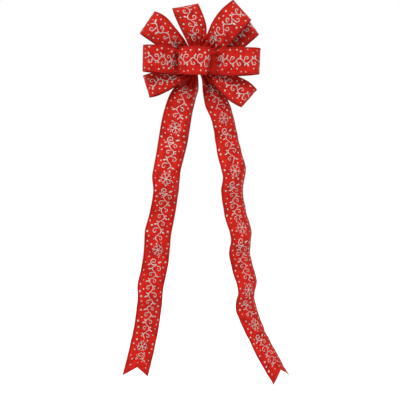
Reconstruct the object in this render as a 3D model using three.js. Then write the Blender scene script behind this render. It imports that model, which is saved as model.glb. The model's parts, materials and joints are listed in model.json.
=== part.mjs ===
// Pre-made gift bow of wired-edge ribbon, hung by the tie at its back.
//
// Frame: millimetres, +Z up, the bow's face looks along -Y. The origin is at
// the twist of the back tie, which is what holds the bow on a wreath, a door
// hanger or a parcel. The pinched middle of the bow lies CORE_Y in front of it.
//
// One length of 63.5 mm ribbon is folded into a short centre loop, eight long
// loops and two tails, pinched in the middle and bound by one covered wire.
// Every ribbon piece is a thin strip with a fine wire in each selvedge.

import * as THREE from 'three';

// ---------------------------------------------------------------- dimensions
const RIBBON_WIDTH = 63.5;        // the ribbon's width, edge to edge
const RIBBON_THICKNESS = 0.8;     // woven ribbon with its printed face
const EDGE_WIRE_RADIUS = 0.45;    // covered wire in each selvedge
const GAP = 0.3;                  // between touching pieces
const CORE_Y = -30;               // the pinched middle, in front of the tie's twist
const ROOT_RADIUS = 13.5;         // where each ribbon comes out of the pinch
const ROOT_HALF_WIDTH = 5.5;      // the ribbon's half-width in the pinch
const CORE_RADIUS = 8.8;          // gathered ribbon inside the tie
const CORE_FRONT = -19;           // its front and back, from CORE_Y
const CORE_BACK = 20;
const CORE_PLEATS = 12;
const TIE_RADIUS = 1.4;           // covered binding wire
const TWIST_START = 24.4;         // the twist behind the pinch, from CORE_Y
const TWIST_LENGTH = 11;
const TWIST_TURNS = 1.5;
const LEG_REACH = 73;             // how far to each side the binding wire's free legs go
const LOOP_FOLD_RADIUS = 17;      // half the thickness of a loop at its fold
const LEAF_STEPS = 11;            // stations along each leaf of a loop
const FOLD_STEPS = 8;             // stations round the fold of a loop
const TAIL_SPLIT_GAP = 0.7;       // clearance at the bend half way down a tail
const DEG = Math.PI / 180;

// Each long loop: the two edges of the ribbon from the pinch to the fold, as
// [x, z] seen from the front, measured from the pinched middle. depth is how
// far the loop leans back (+) or forward (-), rootY where it leaves the pinch,
// roll how much farther back edge a lies than edge b at the fold. reach, late
// and swell set how soon the lean and the loop's thickness come in.
const LOOPS = {
  loop_left_upper: { rootDeg: 144, rootY: 0, depth: -4, roll: 0, fold: 17,
    a: [[-34, 9], [-60, 21.5], [-86.4, 33.9], [-107.7, 48.2], [-125.8, 60.3]],
    b: [[-25.1, 42.4], [-30.5, 50.5], [-45.3, 69], [-68.8, 95.4], [-92.3, 108.4]] },
  loop_top_left: { rootDeg: 98, rootY: 8, depth: 42, roll: 5, fold: 17,
    a: [[-17.8, 35.3], [-24.5, 50.8], [-40.7, 85], [-50.1, 106.4], [-55.6, 121.9]],
    b: [[11.5, 37.5], [20.5, 60], [20.8, 80.8], [14.2, 103], [2.2, 131.9]] },
  loop_top_right: { rootDeg: 46, rootY: 0, depth: -7, roll: 4, fold: 17,
    a: [[5.7, 31.7], [21.5, 56.5], [33, 83.1], [50.5, 108], [79.1, 133.6]],
    b: [[34, 9], [51.6, 20], [72.5, 37.4], [96.7, 64.2], [119.5, 89.7]] },
  loop_right_upper: { rootDeg: 28, rootY: 8, depth: 42, roll: 4, fold: 17,
    a: [[25, 29.5], [38.5, 49], [55.5, 70], [78.9, 92.2], [102.2, 112.2]],
    b: [[37.7, -1], [57.7, 3.4], [83.3, 16.6], [110, 38.8], [138.2, 63.7]] },
  loop_left_middle: { rootDeg: 180, rootY: -12, depth: -36.6, reach: 55, late: 2, swell: 2, roll: 12, fold: 17,
    a: [[-28.1, -29], [-42, -31.6], [-67.2, -31.2], [-91, -29], [-118.1, -26.8]],
    b: [[-28.1, 24], [-45.5, 27.4], [-67.2, 28.3], [-91, 28.9], [-116.2, 29.1]] },
  loop_right_middle: { rootDeg: -4, rootY: -12, depth: -36.6, reach: 55, late: 2, swell: 2, roll: -12, fold: 17,
    a: [[26.1, 22.5], [41.3, 25.2], [71.7, 24.4], [104.2, 23.3], [136.5, 22]],
    b: [[24, -28.5], [41.3, -32.9], [71.7, -36.4], [104.2, -35.3], [135.7, -32.7]] },
  loop_left_lower: { rootDeg: 211, rootY: 0, depth: -3, roll: -14, fold: 16,
    a: [[-14.3, -32.2], [-29.4, -43.5], [-54.9, -60.5], [-80.2, -73.3], [-104.2, -81.2]],
    b: [[-35.5, -9], [-54, -13.5], [-75, -20], [-96.7, -26.5], [-118.7, -32]] },
  loop_right_lower: { rootDeg: 329, rootY: 0, depth: -3, roll: 14, fold: 16,
    a: [[33, -6], [54, -14.5], [86.4, -33.1], [111.9, -45.8], [132.3, -62.5]],
    b: [[14.3, -26.5], [25.5, -39.7], [44, -59.5], [67.7, -84], [98, -102.7]] },
};

// The centre loop lies flat across the pinch and hides it: its edges as
// [x, y] seen from above, y from CORE_Y, all round from one root to the other.
const CENTER_TOP = [[-4, -23.5], [-14, -30], [-29, -40], [-36.5, -53], [-35, -66], [-22, -74],
  [-3, -76.5], [14, -75], [25.5, -69], [29.5, -58], [25.5, -44], [13.5, -31], [4, -23.5]];
const CENTER_BOTTOM = [[-4, -23.5], [-14, -30], [-28.5, -40], [-36, -53], [-35, -66], [-23, -74],
  [-5, -76.5], [10, -75], [19, -69], [21.8, -58], [19.5, -44], [11.5, -31], [4, -23.5]];
const CENTER_TOP_Z = [8, 17, 23, 24.5, 24.6, 24.4, 24, 23.4, 22.6, 22, 21, 16, 8];
const CENTER_BOTTOM_Z = [-8, -21, -30, -33.5, -33.8, -35.6, -37.2, -37.2, -36.8, -36.2, -31, -22, -8];

// Each tail from the pinch down: [left x, left z, right x, right z, y, roll],
// y from CORE_Y, roll how much farther back the right edge lies.
const TAILS = {
  left: { rootDeg: 250, rootY: 13.5, tipLeft: [-164.4, -692.3], notch: [-133.5, -675.5], tipRight: [-109.4, -698], endY: 18,
    split: 12, rows: [
      [-24, -33.5, 2.6, -37, 17, 2], [-43, -50.5, 3.2, -61, 20, 6],
      [-58, -67.4, -3.2, -83.8, 21.5, 10], [-70.7, -98.8, -10.4, -114.4, 22.5, 8],
      [-79.5, -134.1, -15.4, -145.3, 23, 4], [-84.9, -167.2, -20.8, -178.5, 22.5, 4],
      [-89.8, -199.7, -29, -212.5, 16.5, 8], [-95.1, -230.9, -35.7, -239.1, 8.5, 12],
      [-98.9, -254.1, -38, -260, 6, 12], [-96.6, -281.5, -40.9, -285.7, 17, 20],
      [-100.2, -309.9, -45.9, -319.2, 29, 22], [-106.5, -340.1, -51.4, -351.4, 26, 20],
      [-114.9, -372.5, -57, -381.1, 15.5, 14], [-116.8, -405.3, -59.9, -410.1, 19, 16],
      [-120, -434.7, -63.2, -442.8, 27.5, 18], [-125.3, -464.2, -69.1, -475.2, 25, 18],
      [-131.1, -492.6, -74.5, -499.8, 11, 18], [-130.5, -518.3, -76.5, -523.1, 12, 22],
      [-133.7, -546.1, -79.9, -552.7, 23, 24], [-138.5, -580.3, -85.3, -589.3, 27, 24],
      [-145.5, -614.7, -92.3, -626, 24, 22], [-152.4, -644.9, -99.3, -657.5, 19.5, 22]] },
  right: { rootDeg: 292, rootY: 18, tipLeft: [168.3, -712], notch: [180.8, -683.2], tipRight: [204.8, -697.1], endY: 15,
    split: 12, rows: [
      [10.6, -37, 33, -27, 22, 2], [13.2, -65, 53, -53, 24, 8],
      [18.7, -99.6, 69.9, -86.6, 24, 18], [30.1, -124.8, 78.2, -109.7, 23, 26],
      [36.7, -151.8, 85.7, -141.1, 22, 30], [40.9, -182, 92.3, -172.7, 20, 28],
      [46.6, -214.3, 99.2, -202.2, 12, 26], [53, -238.3, 107.4, -231.8, 4.5, 24],
      [56.8, -257.1, 105.3, -257, 6, 32], [53.1, -283.4, 101.8, -283.8, 20, 34],
      [57.1, -318.3, 105.3, -310.9, 31, 34], [63.5, -351.6, 111.2, -339.7, 25, 34],
      [72.8, -379.5, 120.5, -373.6, 12, 34], [73.6, -399.2, 118.7, -398.4, 10, 36],
      [71, -426.7, 117.9, -424, 22.5, 36], [77.9, -461.9, 124, -451, 28, 34],
      [86.8, -490, 132.6, -484.9, 13.5, 36], [90.1, -511.6, 127.3, -511.9, 8, 42],
      [84.5, -535.8, 129.1, -531.9, 20, 36], [91, -565.1, 134.4, -551.2, 28.5, 38],
      [106.4, -597.6, 144.6, -580.9, 26, 40], [121.7, -629.4, 157.9, -611.3, 22, 40],
      [138.2, -661.4, 174.5, -641.6, 18, 40]] },
};

// ------------------------------------------------------------------ materials
const ribbonRed = () => new THREE.MeshStandardMaterial({ color: 0xb8141a, roughness: 0.62, metalness: 0.0 });
const ribbonShade = () => new THREE.MeshStandardMaterial({ color: 0x9c0f14, roughness: 0.7, metalness: 0.0 });
const wireRed = () => new THREE.MeshStandardMaterial({ color: 0xa31218, roughness: 0.55, metalness: 0.1 });
const tieRed = () => new THREE.MeshStandardMaterial({ color: 0x8e1015, roughness: 0.85, metalness: 0.0 });

// ------------------------------------------------------------------- geometry
const V = (x, y, z) => new THREE.Vector3(x, y, z);

// A closed body from rows of front and back points. grid[i][k] = {f, b}.
function shell(grid) {
  const n = grid.length, m = grid[0].length;
  const pos = [], idx = [];
  const F = (i, k) => 2 * (i * m + k), B = (i, k) => 2 * (i * m + k) + 1;
  for (const row of grid) for (const c of row) { pos.push(c.f.x, c.f.y, c.f.z, c.b.x, c.b.y, c.b.z); }
  const quad = (a, b, c, d) => idx.push(a, b, c, a, c, d);
  for (let i = 0; i + 1 < n; i++) {
    for (let k = 0; k + 1 < m; k++) {
      quad(F(i, k), F(i, k + 1), F(i + 1, k + 1), F(i + 1, k));
      quad(B(i, k), B(i + 1, k), B(i + 1, k + 1), B(i, k + 1));
    }
    quad(F(i, 0), F(i + 1, 0), B(i + 1, 0), B(i, 0));
    quad(F(i, m - 1), B(i, m - 1), B(i + 1, m - 1), F(i + 1, m - 1));
  }
  for (let k = 0; k + 1 < m; k++) {
    quad(F(0, k), B(0, k), B(0, k + 1), F(0, k + 1));
    quad(F(n - 1, k), F(n - 1, k + 1), B(n - 1, k + 1), B(n - 1, k));
  }
  return closed(pos, idx);
}

// Turns a closed triangle list into a geometry whose faces point outwards.
function closed(pos, idx) {
  let vol = 0;
  const p = (i) => V(pos[3 * i], pos[3 * i + 1], pos[3 * i + 2]);
  for (let t = 0; t < idx.length; t += 3) vol += p(idx[t]).dot(p(idx[t + 1]).cross(p(idx[t + 2])));
  if (vol < 0) for (let t = 0; t < idx.length; t += 3) { const q = idx[t + 1]; idx[t + 1] = idx[t + 2]; idx[t + 2] = q; }
  const g = new THREE.BufferGeometry();
  g.setAttribute('position', new THREE.Float32BufferAttribute(pos, 3));
  g.setIndex(idx);
  g.computeVertexNormals();
  return g;
}

// Frames along a ribbon between edge lists ea and eb: across, and the normal.
function frames(ea, eb) {
  const n = ea.length, out = [];
  const mid = ea.map((a, i) => a.clone().add(eb[i]).multiplyScalar(0.5));
  for (let i = 0; i < n; i++) {
    const t = mid[Math.min(i + 1, n - 1)].clone().sub(mid[Math.max(i - 1, 0)]).normalize();
    const across = ea[i].clone().sub(eb[i]).normalize();
    const normal = new THREE.Vector3().crossVectors(t, across).normalize();
    out.push({ across, normal });
  }
  return out;
}

// A ribbon strip inset from its edges by the selvedge wires, and those wires.
function ribbonPieces(ea, eb, midShift) {
  const fr = frames(ea, eb), n = ea.length;
  const inset = 2 * EDGE_WIRE_RADIUS + GAP, h = RIBBON_THICKNESS / 2;
  const cell = (p, i) => ({ f: p.clone().addScaledVector(fr[i].normal, h), b: p.clone().addScaledVector(fr[i].normal, -h) });
  const grid = [];
  for (let i = 0; i < n; i++) {
    const a = ea[i].clone().addScaledVector(fr[i].across, -inset);
    const b = eb[i].clone().addScaledVector(fr[i].across, inset);
    const m = a.clone().add(b).multiplyScalar(0.5);
    if (midShift && i === n - 1) m.copy(midShift);
    grid.push(midShift ? [cell(a, i), cell(m, i), cell(b, i)] : [cell(a, i), cell(b, i)]);
  }
  const r = EDGE_WIRE_RADIUS;
  const wire = (edge, sign) => shell(edge.map((p, i) => {
    const c = p.clone().addScaledVector(fr[i].across, -sign * r);
    const mk = (u, w) => c.clone().addScaledVector(fr[i].across, u).addScaledVector(fr[i].normal, w);
    return [{ f: mk(r, r), b: mk(r, -r) }, { f: mk(-r, r), b: mk(-r, -r) }];
  }));
  return { strip: shell(grid), wireA: wire(ea, 1), wireB: wire(eb, -1) };
}

// Smooth curve through points with even parameter, sampled at f from 0 to 1.
function track(points) {
  const c = new THREE.CatmullRomCurve3(points, false, 'centripetal');
  return (f) => c.getPointAt(Math.min(Math.max(f, 0), 1));
}

function rootPair(deg, y) {
  const u = [Math.cos(deg * DEG), Math.sin(deg * DEG)];
  const at = (s) => V(u[0] * ROOT_RADIUS - u[1] * s, y, u[1] * ROOT_RADIUS + u[0] * s);
  return [at(ROOT_HALF_WIDTH), at(-ROOT_HALF_WIDTH)];
}

// ---------------------------------------------------------------------- loops
function loopEdges(L) {
  const [ra, rb] = rootPair(L.rootDeg, 0);
  const ta = track([ra, ...L.a.map(([x, z]) => V(x, 0, z))]);
  const tb = track([rb, ...L.b.map(([x, z]) => V(x, 0, z))]);
  const len = V(...[(L.a[4][0] + L.b[4][0]) / 2, 0, (L.a[4][1] + L.b[4][1]) / 2]).length() - ROOT_RADIUS;
  const e = L.fold / len;
  const lean = (f) => L.rootY + L.depth * (1 - Math.exp(-Math.pow(f * len / (L.reach ?? 70), L.late ?? 1)));
  const thick = (f) => 2.4 + (L.fold - 2.4) * Math.pow(Math.sin(Math.min(1, f / (1 - e)) * Math.PI / 2), L.swell ?? 1.25);
  const at = (f, h, side) => {
    const p = (side > 0 ? ta : tb)(f);
    return V(p.x, CORE_Y + lean(f) + h + side * L.roll / 2 * f * f, p.z);
  };
  const ea = [], eb = [];
  const push = (f, h) => { ea.push(at(f, h, 1)); eb.push(at(f, h, -1)); };
  for (let i = 0; i < LEAF_STEPS; i++) { const f = (1 - e) * i / LEAF_STEPS; push(f, -thick(f)); }
  for (let i = 0; i <= FOLD_STEPS; i++) {
    const w = Math.PI * i / FOLD_STEPS;
    push(1 - e + e * Math.sin(w), -L.fold * Math.cos(w));
  }
  for (let i = LEAF_STEPS - 1; i >= 0; i--) { const f = (1 - e) * i / LEAF_STEPS; push(f, thick(f)); }
  return [ea, eb];
}

const bow = new THREE.Group();
function add(name, geometry, material) {
  const mesh = new THREE.Mesh(geometry, material);
  mesh.name = name;
  bow.add(mesh);
  return mesh;
}

for (const [name, L] of Object.entries(LOOPS)) {
  const [ea, eb] = loopEdges(L);
  const p = ribbonPieces(ea, eb);
  add(name, p.strip, ribbonRed());
  add(name + '_wire_a', p.wireA, wireRed());
  add(name + '_wire_b', p.wireB, wireRed());
}

// Centre loop, one strip all round.
{
  const top = track(CENTER_TOP.map(([x, y], i) => V(x, CORE_Y + y, CENTER_TOP_Z[i])));
  const bottom = track(CENTER_BOTTOM.map(([x, y], i) => V(x, CORE_Y + y, CENTER_BOTTOM_Z[i])));
  const ea = [], eb = [], n = 30;
  for (let i = 0; i <= n; i++) { ea.push(top(i / n)); eb.push(bottom(i / n)); }
  const p = ribbonPieces(ea, eb);
  add('center_loop', p.strip, ribbonRed());
  add('center_loop_wire_top', p.wireA, wireRed());
  add('center_loop_wire_bottom', p.wireB, wireRed());
}

// ---------------------------------------------------------------------- tails
function spread(rows, perRow) {
  const cols = rows[0].map((_, c) => rows.map((r) => r[c]));
  const at = (col, t) => {               // uniform Catmull-Rom along the rows
    const i = Math.min(Math.floor(t), col.length - 2), u = t - i;
    const g = (k) => col[Math.min(Math.max(k, 0), col.length - 1)];
    const [p0, p1, p2, p3] = [g(i - 1), g(i), g(i + 1), g(i + 2)];
    return 0.5 * (2 * p1 + (p2 - p0) * u + (2 * p0 - 5 * p1 + 4 * p2 - p3) * u * u + (3 * p1 - p0 - 3 * p2 + p3) * u * u * u);
  };
  const out = [];
  for (let i = 0; i <= (rows.length - 1) * perRow; i++) out.push(cols.map((c) => at(c, i / perRow)));
  return out;
}

for (const [side, T] of Object.entries(TAILS)) {
  const [ra, rb] = rootPair(T.rootDeg, 0);
  // rootPair gives the counter-clockwise edge first, which is the right edge of a tail
  const rows = [[rb.x, rb.z, ra.x, ra.z, T.rootY, 0], ...T.rows];
  const all = spread(rows, 2);
  const at = (r) => [V(r[0], CORE_Y + r[4] - r[5] / 2, r[1]), V(r[2], CORE_Y + r[4] + r[5] / 2, r[3])];
  const cut = 2 * (T.split + 1);
  const parts = { upper: all.slice(0, cut + 1), lower: all.slice(cut) };
  for (const [half, list] of Object.entries(parts)) {
    const el = [], er = [];
    list.forEach((r) => { const [l, q] = at(r); el.push(l); er.push(q); });
    const i = half === 'upper' ? el.length - 1 : 0, j = half === 'upper' ? i - 1 : 1;
    const back = el[j].clone().add(er[j]).sub(el[i]).sub(er[i]).normalize().multiplyScalar(TAIL_SPLIT_GAP / 2);
    el[i].add(back); er[i].add(back);
    let notch = null;
    if (half === 'lower') {
      const last = list[list.length - 1], h = last[5] / 2;
      el.push(V(T.tipLeft[0], CORE_Y + T.endY - h, T.tipLeft[1]));
      er.push(V(T.tipRight[0], CORE_Y + T.endY + h, T.tipRight[1]));
      notch = V(T.notch[0], CORE_Y + T.endY, T.notch[1]);
    }
    const p = ribbonPieces(el, er, notch);
    const name = `tail_${side}_${half}`;
    add(name, p.strip, ribbonRed());
    add(name + '_wire_left', p.wireA, wireRed());
    add(name + '_wire_right', p.wireB, wireRed());
  }
}

// ------------------------------------------------------- pinched middle and tie
{
  // gathered ribbon: a pleated bundle along Y
  const shape = new THREE.Shape();
  const n = CORE_PLEATS * 2;
  for (let i = 0; i < n; i++) {
    const r = i % 2 ? CORE_RADIUS - 1.6 : CORE_RADIUS, w = 2 * Math.PI * i / n;
    if (i === 0) shape.moveTo(r * Math.cos(w), r * Math.sin(w)); else shape.lineTo(r * Math.cos(w), r * Math.sin(w));
  }
  const g = new THREE.ExtrudeGeometry(shape, { depth: CORE_BACK - CORE_FRONT, bevelEnabled: false });
  g.rotateX(Math.PI / 2);                        // extrusion now runs along -Y
  g.translate(0, CORE_Y + CORE_BACK, 0);
  add('gathered_center', g, ribbonShade());
}
{
  // binding wire round the pinch, in the plane x = 0
  const z = CORE_RADIUS + GAP + TIE_RADIUS, y0 = CORE_FRONT - GAP - TIE_RADIUS, y1 = CORE_BACK + GAP + TIE_RADIUS, c = 1;
  const corners = [[y0 + c, -z], [y1 - c, -z], [y1, -z + c], [y1, z - c], [y1 - c, z], [y0 + c, z], [y0, z - c], [y0, -z + c]];
  const sides = 8, pos = [], idx = [], m = corners.length;
  corners.forEach(([y, zz], i) => {
    const a = corners[(i + m - 1) % m], b = corners[(i + 1) % m];
    const d1 = [y - a[0], zz - a[1]], d2 = [b[0] - y, b[1] - zz];
    const l1 = Math.hypot(...d1), l2 = Math.hypot(...d2);
    let nx = -(d1[1] / l1 + d2[1] / l2), ny = d1[0] / l1 + d2[0] / l2; const l = Math.hypot(nx, ny); nx /= l; ny /= l;
    const stretch = 1 / Math.sqrt((1 + (d1[0] * d2[0] + d1[1] * d2[1]) / (l1 * l2)) / 2);
    for (let k = 0; k < sides; k++) {
      const w = 2 * Math.PI * (k + 0.5) / sides, r = TIE_RADIUS;
      pos.push(r * Math.cos(w), CORE_Y + y + nx * stretch * r * Math.sin(w), zz + ny * stretch * r * Math.sin(w));
    }
  });
  for (let i = 0; i < m; i++) for (let k = 0; k < sides; k++) {
    const a = i * sides + k, b = i * sides + (k + 1) % sides, c2 = ((i + 1) % m) * sides + (k + 1) % sides, d = ((i + 1) % m) * sides + k;
    idx.push(a, b, c2, a, c2, d);
  }
  add('tie_wrap', closed(pos, idx), tieRed());
}
{
  // the two ends twisted together behind the pinch: a two-lobed bar, turned along Y
  const steps = 12, ring = 12, pos = [], idx = [];
  for (let i = 0; i <= steps; i++) {
    const y = CORE_Y + TWIST_START + TWIST_LENGTH * i / steps, turn = TWIST_TURNS * 2 * Math.PI * i / steps;
    for (let k = 0; k < ring; k++) {
      const w = 2 * Math.PI * k / ring, r = 1.5 + 1.1 * Math.cos(2 * w);
      pos.push(r * Math.cos(w + turn), y, r * Math.sin(w + turn));
    }
  }
  const c0 = pos.length / 3; pos.push(0, CORE_Y + TWIST_START, 0);
  const c1 = pos.length / 3; pos.push(0, CORE_Y + TWIST_START + TWIST_LENGTH, 0);
  for (let i = 0; i < steps; i++) for (let k = 0; k < ring; k++) {
    const a = i * ring + k, b = i * ring + (k + 1) % ring, c = (i + 1) * ring + (k + 1) % ring, d = (i + 1) * ring + k;
    idx.push(a, b, c, a, c, d);
  }
  for (let k = 0; k < ring; k++) {
    idx.push(c0, (k + 1) % ring, k);
    idx.push(c1, steps * ring + k, steps * ring + (k + 1) % ring);
  }
  add('tie_twist', closed(pos, idx), tieRed());
}
// free legs of the binding wire, bent out to each side behind the loops
for (const [name, s] of [['tie_leg_left', -1], ['tie_leg_right', 1]]) {
  const y = CORE_Y + TWIST_START + TWIST_LENGTH - 3.4;
  const path = new THREE.CatmullRomCurve3([
    V(s * 4.6, y, 0), V(s * 12, y + 0.6, -2.6), V(s * 30, y + 1.4, -11), V(s * 52, y + 1.2, -22.5), V(s * LEG_REACH, y - 0.4, -35)]);
  const section = new THREE.Shape();
  for (let k = 0; k < 8; k++) {
    const w = 2 * Math.PI * k / 8, r = TIE_RADIUS;
    if (k === 0) section.moveTo(r, 0); else section.lineTo(r * Math.cos(w), r * Math.sin(w));
  }
  add(name, new THREE.ExtrudeGeometry(section, { steps: 14, bevelEnabled: false, extrudePath: path }), tieRed());
}

export default bow;
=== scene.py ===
import bpy
import json
import math
import numpy as np
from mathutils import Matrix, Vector


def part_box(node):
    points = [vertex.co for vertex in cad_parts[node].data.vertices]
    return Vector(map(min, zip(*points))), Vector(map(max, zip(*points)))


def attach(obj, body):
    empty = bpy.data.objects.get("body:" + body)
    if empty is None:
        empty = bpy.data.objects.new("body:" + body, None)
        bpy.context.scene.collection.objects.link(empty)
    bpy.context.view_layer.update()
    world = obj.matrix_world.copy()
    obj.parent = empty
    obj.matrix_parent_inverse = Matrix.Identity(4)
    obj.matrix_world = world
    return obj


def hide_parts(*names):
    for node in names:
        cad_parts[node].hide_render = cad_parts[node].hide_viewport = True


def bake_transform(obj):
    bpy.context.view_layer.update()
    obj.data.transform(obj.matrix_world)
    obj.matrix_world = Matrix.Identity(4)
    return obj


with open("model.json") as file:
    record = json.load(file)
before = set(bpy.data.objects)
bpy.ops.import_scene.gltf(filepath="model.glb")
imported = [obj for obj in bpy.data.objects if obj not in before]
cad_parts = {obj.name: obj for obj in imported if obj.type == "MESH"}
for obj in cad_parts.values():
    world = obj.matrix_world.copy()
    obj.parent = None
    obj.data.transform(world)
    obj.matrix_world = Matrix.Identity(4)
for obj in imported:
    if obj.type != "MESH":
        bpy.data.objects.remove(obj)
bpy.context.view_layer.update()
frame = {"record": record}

MM = 0.001
CORE_Y = -30.0          # the pinched middle, in front of the tie's twist
RIBBON = 63.5           # ribbon width
rng = np.random.default_rng(20408)

# ------------------------------------------------------------------ camera
VIEW_D = 3000.0         # camera distance to the pinch, mm
VIEW_S = 2.2            # mm at the pinch for one 400th of the frame
cam_data = bpy.data.cameras.new("Camera")
cam = bpy.data.objects.new("Camera", cam_data)
bpy.context.scene.collection.objects.link(cam)
cam_data.sensor_width = 36.0
cam_data.lens = 36.0 * VIEW_D / (400.0 * VIEW_S)
cam_data.clip_start = 0.1
cam_data.clip_end = 60.0
cam.location = (3.0 * VIEW_S * MM, (CORE_Y - VIEW_D) * MM, -139.0 * VIEW_S * MM)
cam.rotation_euler = (math.pi / 2, 0.0, 0.0)
bpy.context.scene.camera = cam
bpy.context.scene.view_settings.view_transform = "Standard"
bpy.context.scene.view_settings.look = "None"


# ------------------------------------------------------------------ curves
def centripetal(points, samples=500):
    """Smooth curve through points, returned as a function of the share of its length."""
    P = np.array(points, float)
    n = len(P)
    out = []
    per = max(8, samples // (n - 1))
    for i in range(n - 1):
        p1, p2 = P[i], P[i + 1]
        p0 = P[i - 1] if i > 0 else 2 * P[0] - P[1]
        p3 = P[i + 2] if i + 2 < n else 2 * P[-1] - P[-2]
        d0 = max(np.sum((p1 - p0) ** 2) ** 0.25, 1e-4)
        d1 = max(np.sum((p2 - p1) ** 2) ** 0.25, 1e-4)
        d2 = max(np.sum((p3 - p2) ** 2) ** 0.25, 1e-4)
        t1 = ((p1 - p0) / d0 - (p2 - p0) / (d0 + d1) + (p2 - p1) / d1) * d1
        t2 = ((p2 - p1) / d1 - (p3 - p1) / (d1 + d2) + (p3 - p2) / d2) * d1
        c2 = -3 * p1 + 3 * p2 - 2 * t1 - t2
        c3 = 2 * p1 - 2 * p2 + t1 + t2
        u = np.linspace(0, 1, per, endpoint=(i == n - 2))[:, None]
        out.append(p1 + t1 * u + c2 * u ** 2 + c3 * u ** 3)
    Q = np.concatenate(out)
    d = np.r_[0, np.cumsum(np.linalg.norm(np.diff(Q, axis=0), axis=1))]
    d /= d[-1]

    def at(f):
        f = np.clip(f, 0, 1)
        return np.stack([np.interp(f, d, Q[:, k]) for k in range(Q.shape[1])], -1)
    return at


def unit(v):
    return v / np.maximum(np.linalg.norm(v, axis=-1, keepdims=True), 1e-12)


def smooth(x):
    x = np.clip(x, 0, 1)
    return x * x * (3 - 2 * x)


def waves(x, seed, scales):
    """Smooth seeded wobble of x, a sum of sines."""
    r = np.random.default_rng(seed)
    y = np.zeros_like(x, dtype=float)
    for period, amp in scales:
        y += amp * np.sin(2 * math.pi * x / period * r.uniform(0.85, 1.15) + r.uniform(0, 6.28))
    return y


# ------------------------------------------------------------------ materials
def new_material(name):
    m = bpy.data.materials.new(name)
    m.use_nodes = True
    nt = m.node_tree
    for n in list(nt.nodes):
        nt.nodes.remove(n)
    out = nt.nodes.new("ShaderNodeOutputMaterial")
    b = nt.nodes.new("ShaderNodeBsdfPrincipled")
    nt.links.new(b.outputs[0], out.inputs[0])
    return m, nt, b


def nd(nt, kind, **kw):
    n = nt.nodes.new(kind)
    for k, v in kw.items():
        setattr(n, k, v)
    return n


def math_node(nt, op, a, b=None, clamp=False):
    n = nd(nt, "ShaderNodeMath", operation=op, use_clamp=clamp)
    for i, v in enumerate((a, b)):
        if v is None:
            continue
        if isinstance(v, (int, float)):
            n.inputs[i].default_value = v
        else:
            nt.links.new(v, n.inputs[i])
    return n.outputs[0]


def mix_color(nt, fac, a, b):
    n = nd(nt, "ShaderNodeMix", data_type="RGBA")
    if isinstance(fac, (int, float)):
        n.inputs[0].default_value = fac
    else:
        nt.links.new(fac, n.inputs[0])
    for i, v in ((6, a), (7, b)):
        if isinstance(v, tuple):
            n.inputs[i].default_value = v
        else:
            nt.links.new(v, n.inputs[i])
    return n.outputs[2]


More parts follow.
